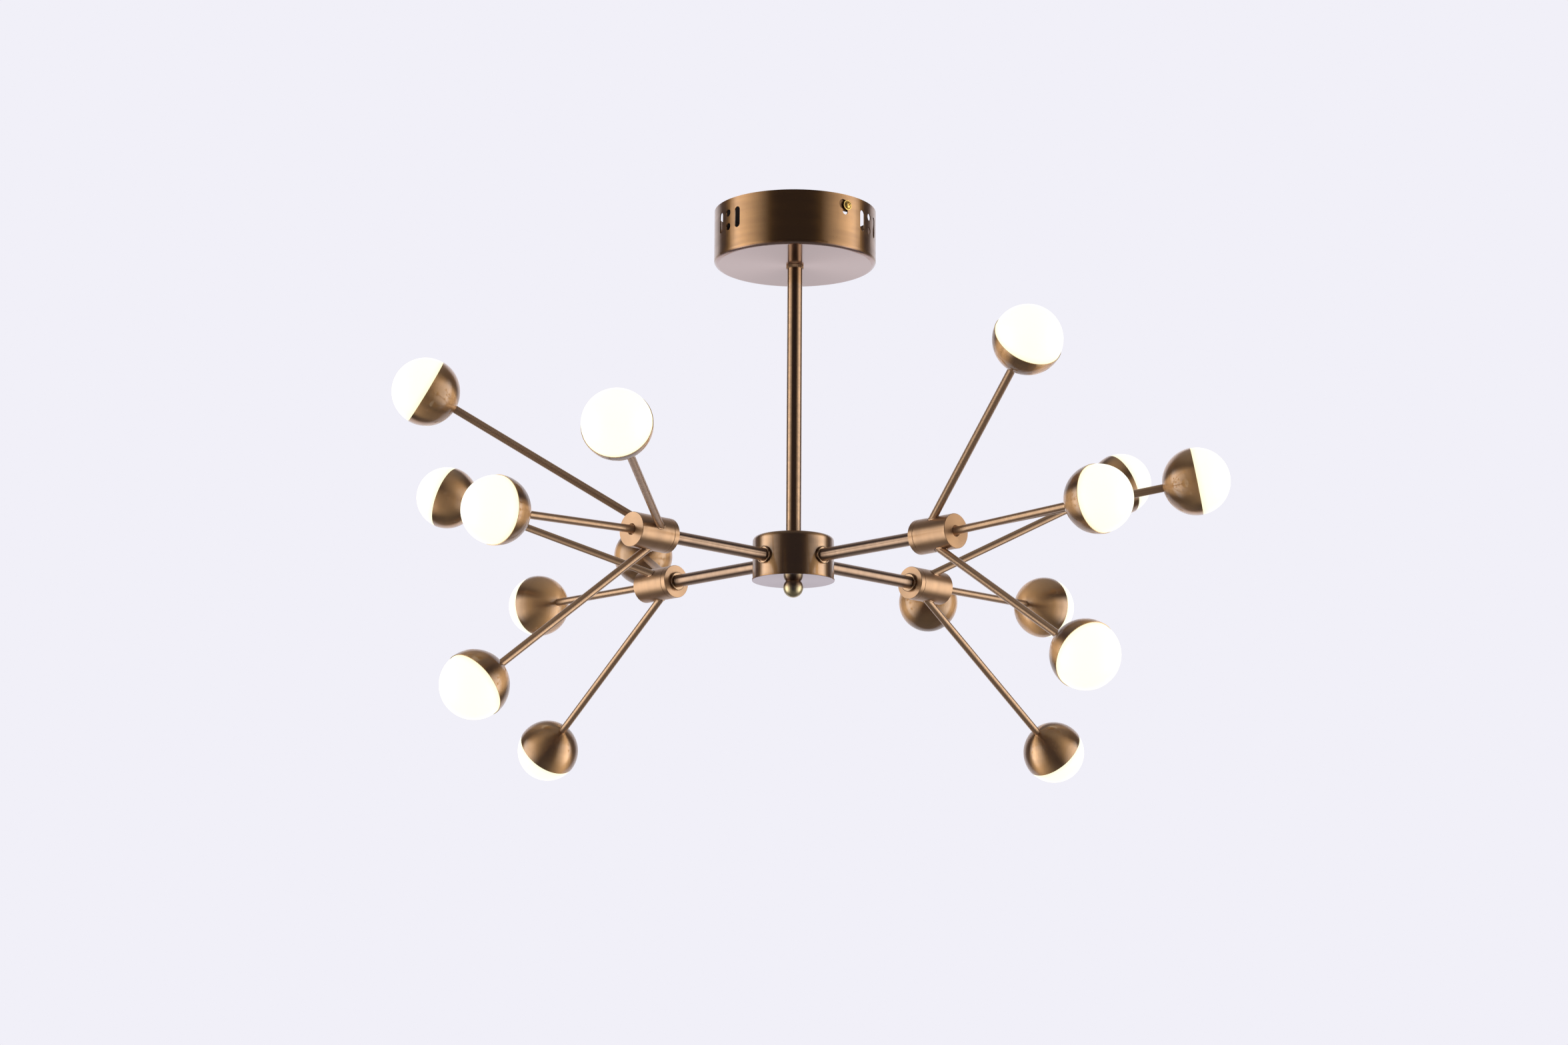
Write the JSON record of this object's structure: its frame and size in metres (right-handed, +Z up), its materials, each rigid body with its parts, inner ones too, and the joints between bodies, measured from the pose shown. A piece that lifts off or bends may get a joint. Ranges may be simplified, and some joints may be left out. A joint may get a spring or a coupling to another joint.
{
  "type": "chandelier",
  "caption": "Hanging lamp with a vented round canopy, a stem and a hub with level arms, each holding a swivelling cluster of thin rods that end in half-metal, half-opal balls.",
  "frame": {"origin": "centre of the ceiling strap's top face, which lies on the ceiling with the canopy's rim", "axes": "+Z up into the ceiling along the stem; -Y to the front, so the arms stand at 45 degrees to X and Y"},
  "size_m": [1.0093, 1.0363, 0.6913],
  "materials": {
    "plated_steel": "brass plated, antique tone",
    "canopy_brass": "brushed round the cup, lacquered, antique tone",
    "screw_brass": "bright yellow plating",
    "driver_case": "matt black moulding",
    "terminal_plastic": "plain moulding",
    "zinc_steel": "zinc plated",
    "polished_brass": "turned and lacquered, antique tone",
    "brushed_brass": "fine brushed, lacquered, antique tone",
    "ball_brass": "spun and lacquered, antique tone",
    "opal_glass": "opal, satin, lit from inside",
    "board_aluminium": "white solder mask"
  },
  "bodies": {
    "lamp_frame": {"ceiling_bracket": "plated_steel", "canopy_cup": "canopy_brass", "canopy_screws": "screw_brass", "led_driver": "driver_case", "terminal_block": "terminal_plastic", "canopy_nipple": "zinc_steel", "canopy_nut": "zinc_steel", "knurled_ring": "polished_brass", "stem_tube": "brushed_brass", "stem_plugs": "zinc_steel", "hub_cup": "brushed_brass", "hub_lid": "brushed_brass", "hub_rod": "zinc_steel", "hub_nut": "zinc_steel", "finial": "polished_brass", "hub_collars": "polished_brass", "arm_nuts": "zinc_steel", "swivel_collars": "polished_brass", "swivel_nuts": "zinc_steel", "arm_tube_front_left": "brushed_brass", "arm_tube_front_right": "brushed_brass", "arm_tube_back_right": "brushed_brass", "arm_tube_back_left": "brushed_brass"},
    "cluster_front_left": {"cluster_cap_front_left": "brushed_brass", "cluster_body_front_left": "brushed_brass", "rods_front_left": "brushed_brass", "ball_cup_front_left_1": "ball_brass", "ball_cup_front_left_2": "ball_brass", "ball_cup_front_left_3": "ball_brass", "ball_cup_front_left_4": "ball_brass", "domes_front_left": "opal_glass", "led_boards_front_left": "board_aluminium"},
    "cluster_front_right": {"cluster_cap_front_right": "brushed_brass", "cluster_body_front_right": "brushed_brass", "rods_front_right": "brushed_brass", "ball_cup_front_right_1": "ball_brass", "ball_cup_front_right_2": "ball_brass", "ball_cup_front_right_3": "ball_brass", "ball_cup_front_right_4": "ball_brass", "domes_front_right": "opal_glass", "led_boards_front_right": "board_aluminium"},
    "cluster_back_right": {"cluster_cap_back_right": "brushed_brass", "cluster_body_back_right": "brushed_brass", "rods_back_right": "brushed_brass", "ball_cup_back_right_1": "ball_brass", "ball_cup_back_right_2": "ball_brass", "ball_cup_back_right_3": "ball_brass", "ball_cup_back_right_4": "ball_brass", "domes_back_right": "opal_glass", "led_boards_back_right": "board_aluminium"},
    "cluster_back_left": {"cluster_cap_back_left": "brushed_brass", "cluster_body_back_left": "brushed_brass", "rods_back_left": "brushed_brass", "ball_cup_back_left_1": "ball_brass", "ball_cup_back_left_2": "ball_brass", "ball_cup_back_left_3": "ball_brass", "ball_cup_back_left_4": "ball_brass", "domes_back_left": "opal_glass", "led_boards_back_left": "board_aluminium"}
  },
  "joints": [
    {"name": "swivel_front_left", "type": "hinge", "parent": "lamp_frame", "child": "cluster_front_left", "pos_m": [-0.15521, -0.15521, -0.447], "axis": [-0.7071, -0.7071, 0], "range_deg": [-170, 170]},
    {"name": "swivel_front_right", "type": "hinge", "parent": "lamp_frame", "child": "cluster_front_right", "pos_m": [0.15521, -0.15521, -0.447], "axis": [0.7071, -0.7071, 0], "range_deg": [-170, 170]},
    {"name": "swivel_back_right", "type": "hinge", "parent": "lamp_frame", "child": "cluster_back_right", "pos_m": [0.15521, 0.15521, -0.447], "axis": [0.7071, 0.7071, 0], "range_deg": [-170, 170]},
    {"name": "swivel_back_left", "type": "hinge", "parent": "lamp_frame", "child": "cluster_back_left", "pos_m": [-0.15521, 0.15521, -0.447], "axis": [-0.7071, 0.7071, 0], "range_deg": [-170, 170]}
  ]
}
